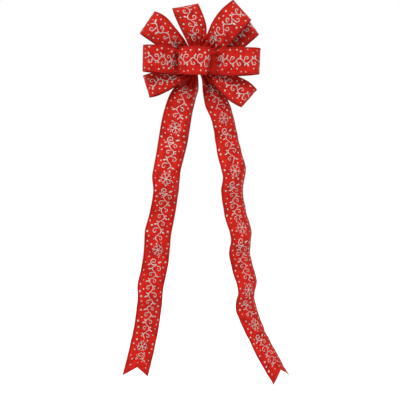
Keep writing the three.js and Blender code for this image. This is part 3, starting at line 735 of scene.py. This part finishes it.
TAILS = {
    "left": dict(root=250, y=13.5, tip_l=(-164.4, -692.3), notch=(-133.5, -675.5), tip_r=(-109.4, -698), end_y=18,
        rows=[[-24, -33.5, 2.6, -37, 17, 2], [-43, -50.5, 3.2, -61, 20, 6],
              [-58, -67.4, -3.2, -83.8, 21.5, 10], [-70.7, -98.8, -10.4, -114.4, 22.5, 8],
              [-79.5, -134.1, -15.4, -145.3, 23, 4], [-84.9, -167.2, -20.8, -178.5, 22.5, 4],
              [-89.8, -199.7, -29, -212.5, 16.5, 8], [-95.1, -230.9, -35.7, -239.1, 8.5, 12],
              [-98.9, -254.1, -38, -260, 6, 12], [-96.6, -281.5, -40.9, -285.7, 17, 20],
              [-100.2, -309.9, -45.9, -319.2, 29, 22], [-106.5, -340.1, -51.4, -351.4, 26, 20],
              [-114.9, -372.5, -57, -381.1, 15.5, 14], [-116.8, -405.3, -59.9, -410.1, 19, 16],
              [-120, -434.7, -63.2, -442.8, 27.5, 18], [-125.3, -464.2, -69.1, -475.2, 25, 18],
              [-131.1, -492.6, -74.5, -499.8, 11, 18], [-130.5, -518.3, -76.5, -523.1, 12, 22],
              [-133.7, -546.1, -79.9, -552.7, 23, 24], [-138.5, -580.3, -85.3, -589.3, 27, 24],
              [-145.5, -614.7, -92.3, -626, 24, 22], [-152.4, -644.9, -99.3, -657.5, 19.5, 22]]),
    "right": dict(root=292, y=18, tip_l=(168.3, -712), notch=(180.8, -683.2), tip_r=(204.8, -697.1), end_y=15,
        rows=[[10.6, -37, 33, -27, 22, 2], [13.2, -65, 53, -53, 24, 8],
              [18.7, -99.6, 69.9, -86.6, 24, 18], [30.1, -124.8, 78.2, -109.7, 23, 26],
              [36.7, -151.8, 85.7, -141.1, 22, 30], [40.9, -182, 92.3, -172.7, 20, 28],
              [46.6, -214.3, 99.2, -202.2, 12, 26], [53, -238.3, 107.4, -231.8, 4.5, 24],
              [56.8, -257.1, 105.3, -257, 6, 32], [53.1, -283.4, 101.8, -283.8, 20, 34],
              [57.1, -318.3, 105.3, -310.9, 31, 34], [63.5, -351.6, 111.2, -339.7, 25, 34],
              [72.8, -379.5, 120.5, -373.6, 12, 34], [73.6, -399.2, 118.7, -398.4, 10, 36],
              [71, -426.7, 117.9, -424, 22.5, 36], [77.9, -461.9, 124, -451, 28, 34],
              [86.8, -490, 132.6, -484.9, 13.5, 36], [90.1, -511.6, 127.3, -511.9, 8, 42],
              [84.5, -535.8, 129.1, -531.9, 20, 36], [91, -565.1, 134.4, -551.2, 28.5, 38],
              [106.4, -597.6, 144.6, -580.9, 26, 40], [121.7, -629.4, 157.9, -611.3, 22, 40],
              [138.2, -661.4, 174.5, -641.6, 18, 40]]),
}


def root_pair(deg, radius=ROOT_RADIUS, half=ROOT_HALF):
    a = math.radians(deg)
    u = (math.cos(a), math.sin(a))
    at = lambda s: (u[0] * radius - u[1] * s, u[1] * radius + u[0] * s)
    return at(half), at(-half)


INNER = [6.6, 8.0, 9.4, 10.8, 12.2]


def into_core(p, deg, sg):
    """Where a ribbon's edge runs on from its root at p into the gathered middle."""
    rows = []
    for r in INNER:
        q = root_pair(deg, r, ROOT_HALF * (0.62 + 0.38 * (r - INNER[0]) / (ROOT_RADIUS - INNER[0])))[0 if sg > 0 else 1]
        rows.append([q[0], p[1], q[1]])
    return np.array(rows)


def loop_edges(L, leaf=64, fold=26):
    ra, rb = root_pair(L["root"])
    ta, tb = centripetal([ra, *L["a"]]), centripetal([rb, *L["b"]])
    m = (np.array(L["a"][4]) + np.array(L["b"][4])) / 2
    ln = np.linalg.norm(m) - ROOT_RADIUS
    e = L["fold"] / ln
    F = (1 - e) * np.arange(leaf) / leaf
    th = lambda f: 2.4 + (L["fold"] - 2.4) * np.sin(np.minimum(1, f / (1 - e)) * math.pi / 2) ** L.get("swell", 1.25)
    w = math.pi * np.arange(fold + 1) / fold
    f = np.concatenate([F, 1 - e + e * np.sin(w), F[::-1]])
    h = np.concatenate([-th(F), -L["fold"] * np.cos(w), th(F[::-1])])
    lean = L["y"] + L["depth"] * (1 - np.exp(-(f * ln / L.get("reach", 70)) ** L.get("late", 1)))
    out = []
    for tr, sg in ((ta, 1), (tb, -1)):
        p = tr(f)
        e_ = np.stack([p[:, 0], CORE_Y + lean + h + sg * L["roll"] / 2 * f * f, p[:, 1]], -1)
        out.append(np.concatenate([into_core(e_[0], L["root"], sg), e_, into_core(e_[-1], L["root"], sg)[::-1]]))
    # how far round the fold each row is: 0 on the leaves, 1 at the very fold
    nil = np.zeros(len(INNER))
    foldness = np.concatenate([nil, smooth((F / (1 - e) - 0.72) / 0.28), np.ones(fold + 1), smooth((F[::-1] / (1 - e) - 0.72) / 0.28), nil])
    return out[0], out[1], foldness


print_jobs = []
ribbons = {}


def finish_ribbon(R, bodies, nodes, flat_len, items, seed, lo=24.0, hi_cut=24.0, blend=None, weight=1.0):
    ob = R.build(MAT_RIBBON)
    ob.name = R.name + "_ribbon"
    se = R.selvedge(MAT_THREAD)
    pr = Print(R, lo, R.length - hi_cut, weight).pattern(items, seed).build(MAT_GLITTER)
    for o, sl in ((ob, "ribbon_red"), (se, "edge_wire"), (pr, "glitter_print")):
        if o is None:
            continue
        if blend:
            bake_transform(o)
        else:
            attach(o, bodies)
    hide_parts(*[n for n in nodes if "_wire" not in n])
    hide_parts(*[n for n in nodes if "_wire" in n])
    ribbons[R.name] = (ob, se, pr)
    return ob


seed = 100
LOOP_LOOK = {  # camber, pleats, convex outwards or inwards, print phase
    "loop_left_upper": (2.6, 4, 1.0, -6), "loop_top_left": (2.4, 4, 1.0, 8), "loop_top_right": (3.0, 4, 1.0, 0),
    "loop_right_upper": (2.2, 4, 1.0, 6), "loop_left_middle": (2.2, 3, 1.0, 0), "loop_right_middle": (2.4, 3, 1.0, 3),
    "loop_left_lower": (3.2, 4, 1.0, -4), "loop_right_lower": (3.0, 4, 1.0, 4),
}
TUCKS = {
    "loop_left_middle": [(36, 10.0, 11.2, 1.5)], "loop_right_middle": [(34, 10, 10.0, -3.5)],
    "loop_left_upper": [(36, 10, 6.5, 5.0), (53, 6, 2.2, -4.0)], "loop_top_right": [(33, 9, 5.5, -4.0)],
    "loop_top_left": [(31, 8, 4.0, 2.0)], "loop_left_lower": [(38, 9, 5.0, -5.0)], "loop_right_lower": [(33, 9, 4.5, 4.0)],
}
for name, L in LOOPS.items():
    seed += 17
    ea, eb, foldness = loop_edges(L)
    camber, pleats, convex, phase = LOOP_LOOK[name]
    n = len(ea)
    half = n // 2
    face = np.zeros((n, 3))
    face[: half - 12] = (0, -1, 0)
    face[half + 12:] = (0, 1, 0)
    # pleats stay shallow where the two leaves lie close together, and have run out before the fold
    mids = (ea + eb) / 2
    run = np.r_[0, np.cumsum(np.linalg.norm(np.diff(mids, axis=0), axis=1))]
    from_root = np.minimum(run, run[-1] - run)
    cap = (1.7 + 3.0 * smooth((from_root - 4) / 26)) * (1 - smooth((from_root - 26) / 52))
    R = Ribbon(name, ea, eb, face, camber=camber, pleats=pleats, pleat_cap=cap, seed=seed, tip_share=1 - 0.85 * foldness, convex=convex,
               tucks=TUCKS.get(name, ()))
    tip = R.length / 2
    items = [("v", 42 if "middle" in name else 35, tip - 12 + phase), ("f", tip + 40 + phase), ("v", tip + 60 + phase, R.length - 34)]
    finish_ribbon(R, "b_" + name, frame["record"]["behaviour"]["bodies"]["b_" + name], R.length, items, seed, lo=44 if name == "loop_left_lower" else 34, hi_cut=34)

# centre loop
top = centripetal([[x, CORE_Y + y, z] for (x, y), z in zip(CENTER_TOP, CENTER_TOP_Z)])
bot = centripetal([[x, CORE_Y + y, z] for (x, y), z in zip(CENTER_BOTTOM, CENTER_BOTTOM_Z)])
f = np.linspace(0, 1, 130)
ea, eb = top(f), bot(f)
ends = []
for e_ in (ea, eb):
    k = np.linspace(0, 1, 5)[:-1, None]
    a_, b_ = e_[0], e_[-1]
    inner_a = np.array([-1.6, CORE_Y - 15.5, a_[2] * 0.8]); inner_b = np.array([1.6, CORE_Y - 15.5, b_[2] * 0.8])
    ends.append(np.concatenate([inner_a + (a_ - inner_a) * k, e_, (inner_b + (b_ - inner_b) * k)[::-1]]))
ea, eb = ends
face = np.zeros((len(ea), 3)); face[54:84] = (0, -1, 0)
mids = (ea + eb) / 2
run = np.r_[0, np.cumsum(np.linalg.norm(np.diff(mids, axis=0), axis=1))]
cap = 2.6 * (1 - smooth((np.minimum(run, run[-1] - run) - 14) / 34))
R = Ribbon("center_loop", ea, eb, face, camber=1.2, pleats=4, pleat_cap=cap, seed=777, wobble=0.2)
finish_ribbon(R, "b_center_loop", frame["record"]["behaviour"]["bodies"]["b_center_loop"], R.length,
              [("v", 42, R.length - 42)], 777, lo=28, hi_cut=28, weight=0.92)

# tails
def spread(rows, per):
    R_ = np.array(rows, float)
    n = len(R_)
    out = []
    for q in range((n - 1) * per + 1):
        t = q / per
        i = min(int(t), n - 2)
        u = t - i
        g = lambda k: R_[min(max(k, 0), n - 1)]
        p0, p1, p2, p3 = g(i - 1), g(i), g(i + 1), g(i + 2)
        out.append(0.5 * (2 * p1 + (p2 - p0) * u + (2 * p0 - 5 * p1 + 4 * p2 - p3) * u * u + (3 * p1 - p0 - 3 * p2 + p3) * u ** 3))
    return np.array(out)


for side, T in TAILS.items():
    ra, rb = root_pair(T["root"])
    rows = [[rb[0], rb[1], ra[0], ra[1], T["y"], 0], *T["rows"]]
    last = rows[-1]
    end = [T["tip_l"][0], T["tip_l"][1], T["tip_r"][0], T["tip_r"][1], T["end_y"], last[5]]
    A = spread([*rows, end], 14)
    el = np.stack([A[:, 0], CORE_Y + A[:, 4] - A[:, 5] / 2, A[:, 1]], -1)
    er = np.stack([A[:, 2], CORE_Y + A[:, 4] + A[:, 5] / 2, A[:, 3]], -1)
    el = np.concatenate([into_core(el[0], T["root"], -1), el])
    er = np.concatenate([into_core(er[0], T["root"], 1), er])
    n = len(el)
    face = np.tile((0.0, -1.0, 0.0), (n, 1))
    mid_end = np.array([T["notch"][0], T["notch"][1]])
    chord_mid = (np.array(T["tip_l"]) + np.array(T["tip_r"])) / 2

    # the forked end: rows close to the end are drawn up towards the notch in the middle
    def fork(P, s, W, T=T, mid_end=mid_end, chord_mid=chord_mid):
        k = smooth((s - (s[-1] - 75)) / 75)[:, None]
        depth = chord_mid - mid_end                                # how far up the notch goes, x and z
        bite = (1 - np.abs(W)) * k
        P = P.copy()
        P[..., 0] -= depth[0] * bite * 1.0
        P[..., 2] -= depth[1] * bite * 1.0
        return P

    mids = (el + er) / 2
    run = np.r_[0, np.cumsum(np.linalg.norm(np.diff(mids, axis=0), axis=1))]
    cap = (1.4 + 2.9 * smooth(run / 40)) * (1 - smooth((run - 34) / 66))
    # how far the right-hand edge (W is +1 on the left edge) rolls back, along the ribbon
    if side == "left":
        deep = 14.5 * smooth((run - 20) / 40) * (1 - smooth((run - 205) / 60)) + 7.0 * smooth((run - 240) / 25) * (1 - smooth((run - 290) / 30))
    else:
        deep = 6.0 * smooth((run - 60) / 60) * (1 - 0.35 * smooth((run - 560) / 80))
    R = Ribbon("tail_" + side, el, er, face, camber=(3.2 if side == "left" else 4.2), pleats=3, pleat_cap=cap,
               seed=31 if side == "left" else 47, wobble=0.35, rows_shift=fork, curl=(-1, deep), crumple=1.2, both_ends=False)
    zs = -mids[:, 2]
    at_z = lambda z: float(np.interp(-z, np.maximum.accumulate(zs), run))
    flakes = [-146.3, -258.1, -415.8, -631.4] if side == "left" else [-126.1, -241.6, -369.6, -503.8, -585.2]
    items = []
    prev = 48.0
    for z_ in flakes:
        c_ = at_z(z_)
        items += [("v", prev, c_ - 18), ("f", c_)]
        prev = c_ + 18
    items.append(("v", prev, R.length - 24))
    # pleats only near the pinch: narrower looking stretches further down are the ribbon's curl, not folds
    bodies = ("b_tail_%s_upper" % side, "b_tail_%s_lower" % side)
    B = frame["record"]["behaviour"]["bodies"]
    k0 = len(INNER) + int(round((13 - 2.2) * 14)); k1 = len(INNER) + int(round((13 + 2.2) * 14))
    start = Vector(((el[k0] + er[k0]) / 2 * MM).tolist()); end_ = Vector(((el[k1] + er[k1]) / 2 * MM).tolist())
    finish_ribbon(R, bodies, B[bodies[0]] + B[bodies[1]], R.length, items, 900 if side == "left" else 950,
                  lo=44, hi_cut=10, blend=(start, end_), weight=0.87 if side == "left" else 0.78)


# ------------------------------------------------------------------ the gathered middle
def gathered():
    """The pinched bundle: ribbon layers gathered side to side, waisted a little where the wire crosses it."""
    rows, cols = 44, 276
    lo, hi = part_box("gathered_center")
    y0, y1, hz = lo.y / MM, hi.y / MM, hi.z / MM
    cy, hy = (y0 + y1) / 2, (y1 - y0) / 2
    x = np.linspace(-1, 1, rows)
    t = np.linspace(0, 1, cols, endpoint=False)
    Tt, X = np.meshgrid(t, x)
    th = 2 * math.pi * Tt
    n = 3.2
    c, d = np.cos(th), np.sin(th)
    py = np.sign(c) * np.abs(c) ** (2 / n)
    pz = np.sign(d) * np.abs(d) ** (2 / n)
    fat = 0.97 + 0.09 * smooth((np.abs(X) - 0.10) / 0.35) - 0.30 * smooth((np.abs(X) - 0.72) / 0.28)
    drift = 1.1 * np.sin(2.0 * th + 0.7) * X + 0.5 * np.sin(5.0 * th) * X * X
    fold = np.abs(np.cos(math.pi * 23 * Tt + drift)) ** 0.8 - 0.55
    fine = np.cos(2 * math.pi * 61 * Tt + 2.0 * drift)
    out = 0.85 * fold * (0.55 + 0.45 * smooth(np.abs(X) / 0.3)) + 0.12 * fine
    Y = cy + hy * py * (fat * 0.5 + 0.5) + c * out
    Z = hz * pz * fat + d * out
    P = np.stack([X * hz * 1.0, Y, Z], -1)
    verts = P.reshape(-1, 3).tolist()
    faces = grid_faces(rows, cols, wrap=True).tolist()
    c0 = len(verts); verts.append([-hz * 1.02, cy, 0]); c1 = len(verts); verts.append([hz * 1.02, cy, 0])
    for j in range(cols):
        faces.append([c0, (j + 1) % cols, j])
        faces.append([c1, (rows - 1) * cols + j, (rows - 1) * cols + (j + 1) % cols])
    V_ = np.array(verts)
    f0 = faces[0]
    nrm = np.cross(V_[f0[1]] - V_[f0[0]], V_[f0[2]] - V_[f0[0]])
    if np.dot(nrm, V_[f0[0]] - np.array([V_[f0[0]][0], cy, 0])) < 0:
        faces = [q[::-1] for q in faces]
    rib = np.stack([X * 12 + 40, Tt * 300, 0 * X], -1)
    rib[..., 1] = rib[..., 1] % 50 - 25
    ob = make_object("gathered_ribbon", verts, faces, rib.reshape(-1, 3).tolist() + [[0, 0, 0], [0, 0, 0]], MAT_CORE)
    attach(ob, "tie"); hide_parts("gathered_center")
    return ob


gathered()


# ------------------------------------------------------------------ the tie: chenille covered wire
def tube(path, radius, sides=12, closed_path=False):
    P = np.array(path, float)
    n = len(P)
    if closed_path:
        T = unit(np.roll(P, -1, 0) - np.roll(P, 1, 0))
    else:
        T = unit(np.gradient(P, axis=0))
    ref = np.array([0.31, 0.2, 0.93])
    u = unit(np.cross(T[0], ref))
    U = []
    for i in range(n):
        u = unit(u - T[i] * np.dot(u, T[i]))
        U.append(u)
    U = np.array(U); Vv = np.cross(T, U)
    if closed_path:  # spread the leftover turn along the ring
        end = unit(U[-1] - T[0] * np.dot(U[-1], T[0]))
        gap = math.atan2(np.dot(np.cross(end, U[0]), T[0]), np.dot(end, U[0]))
        g = gap * np.arange(n) / n
        U, Vv = (U * np.cos(g)[:, None] + Vv * np.sin(g)[:, None]), (Vv * np.cos(g)[:, None] - U * np.sin(g)[:, None])
    a = np.linspace(0, 2 * math.pi, sides, endpoint=False)
    r = radius if hasattr(radius, "__len__") else np.full(n, radius)
    ring = P[:, None] + U[:, None] * (np.cos(a)[None, :] * r[:, None])[..., None] + Vv[:, None] * (np.sin(a)[None, :] * r[:, None])[..., None]
    verts = ring.reshape(-1, 3)
    i, k = np.meshgrid(np.arange(n if closed_path else n - 1), np.arange(sides), indexing="ij")
    q = np.stack([i * sides + k, i * sides + (k + 1) % sides, ((i + 1) % n) * sides + (k + 1) % sides, ((i + 1) % n) * sides + k], -1).reshape(-1, 4)
    faces = q[:, ::1].tolist()
    if not closed_path:
        faces.append(list(range(sides))[::-1]); faces.append([(n - 1) * sides + j for j in range(sides)])
    f0 = faces[0]
    nrm = np.cross(verts[f0[1]] - verts[f0[0]], verts[f0[2]] - verts[f0[0]])
    if np.dot(nrm, verts[f0[0]] - P[0]) < 0:
        faces = [x[::-1] for x in faces]
    return verts, faces, (P, T, U, Vv)


def chenille(name, path, node, body, core=0.75, pile=1.45, per_mm=30, seed=3, closed_path=False):
    verts, faces, (P, T, U, Vv) = tube(path, core, 10, closed_path)
    verts = verts.tolist()
    r = np.random.default_rng(seed)
    d = np.r_[0, np.cumsum(np.linalg.norm(np.diff(P, axis=0), axis=1))]
    count = int(d[-1] * per_mm)
    for _ in range(count):
        x = r.uniform(0, d[-1])
        i = min(int(np.searchsorted(d, x)), len(P) - 1)
        c = np.array([np.interp(x, d, P[:, k]) for k in range(3)])
        a = r.uniform(0, 2 * math.pi)
        u = U[i] * math.cos(a) + Vv[i] * math.sin(a)
        tilt = r.normal(0, 0.35)
        dirn = unit(u + T[i] * tilt)
        ln = pile * r.uniform(0.78, 1.0)
        side = unit(np.cross(dirn, T[i]))
        b = len(verts)
        base = c + u * (core * 0.6)
        for k in range(3):
            w = 2 * math.pi * k / 3
            verts.append((base + (side * math.cos(w) + T[i] * math.sin(w)) * 0.10).tolist())
        verts.append((c + dirn * ln).tolist())
        faces += [[b, b + 1, b + 3], [b + 1, b + 2, b + 3], [b + 2, b, b + 3], [b, b + 2, b + 1]]
    ob = make_object(name, verts, faces, np.zeros((len(verts), 3)), MAT_CHENILLE)
    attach(ob, body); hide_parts(node)
    return ob


z, y0, y1, c = 10.5, -20.7, 21.7, 3.0
ring = []
corners = [(y0, -z, 1), (y1, -z, 2), (y1, z, 3), (y0, z, 0)]
for (cy, cz, q) in corners:
    oy = cy + (c if cy < 0 else -c); oz = cz + (c if cz < 0 else -c)
    a0 = {(-1, -1): 180, (1, -1): 270, (1, 1): 0, (-1, 1): 90}[(int(np.sign(cy)), int(np.sign(cz)))]
    for k in range(7):
        a = math.radians(a0 + 90 * k / 6)
        ring.append([0.0, CORE_Y + oy + c * math.cos(a), oz + c * math.sin(a)])
dense = []
for i in range(len(ring)):
    p, q = np.array(ring[i]), np.array(ring[(i + 1) % len(ring)])
    m = max(1, int(np.linalg.norm(q - p) / 1.6))
    for k in range(m):
        dense.append(p + (q - p) * k / m)
chenille("tie_wrap_wire", dense, "tie_wrap", "tie", core=0.85, pile=1.6, per_mm=36, seed=11, closed_path=True)

tw0, twl = CORE_Y + 24.4, 11.0
t = np.linspace(0, 1, 60)
strands = []
for ph in (0, math.pi):
    strands.append(np.stack([1.25 * np.cos(2 * math.pi * 1.5 * t + ph), tw0 + twl * t, 1.25 * np.sin(2 * math.pi * 1.5 * t + ph)], -1))
both = []
for q, s_ in enumerate(strands):
    both.append(chenille("tie_twist_strand_%s" % "ab"[q], s_, "tie_twist", "tie", core=0.6, pile=1.3, per_mm=34, seed=21 + q))
for side, sg in (("left", -1), ("right", 1)):
    y = tw0 + twl - 3.4
    p = centripetal([[sg * 2.0, y - 0.2, 0.4], [sg * 4.6, y, 0], [sg * 12, y + 0.6, -2.6], [sg * 30, y + 1.4, -11], [sg * 52, y + 1.2, -22.5], [sg * 73, y - 0.4, -35]])
    chenille("tie_leg_%s_wire" % side, p(np.linspace(0.02, 0.995, 90)), "tie_leg_" + side, "b_tie_leg_" + side, per_mm=30, seed=33 + (sg > 0))

# ------------------------------------------------------------------ floor and light
def floor():
    me = bpy.data.meshes.new("floor")
    z = -0.85
    me.from_pydata([(-6, -2.6, z), (6, -2.6, z), (6, 9, z), (-6, 9, z)], [], [(0, 1, 2, 3)])
    ob = bpy.data.objects.new("floor", me)
    bpy.context.scene.collection.objects.link(ob)
    m, nt, b = new_material("floor_white")
    b.inputs["Base Color"].default_value = (0.92, 0.92, 0.92, 1)
    b.inputs["Roughness"].default_value = 0.9
    me.materials.append(m)


floor()
world = bpy.data.worlds.new("World")
bpy.context.scene.world = world
world.use_nodes = True
bg = world.node_tree.nodes["Background"]
bg.inputs[0].default_value = (1, 1, 1, 1)
bg.inputs[1].default_value = 1.0




def sun(name, toward, strength, angle):
    """A broad soft light: toward is the direction from the bow to the light."""
    d = bpy.data.lights.new(name, "SUN")
    d.energy = strength
    d.angle = math.radians(angle)
    o = bpy.data.objects.new(name, d)
    bpy.context.scene.collection.objects.link(o)
    o.location = Vector(toward) * 3
    o.rotation_euler = Vector(toward).to_track_quat("Z", "Y").to_euler()
    return o


sun("key_softbox", (-0.17, -1.0, 0.50), 2.38, 22)
sun("top_softbox", (0.10, -0.25, 1.0), 0.40, 60)
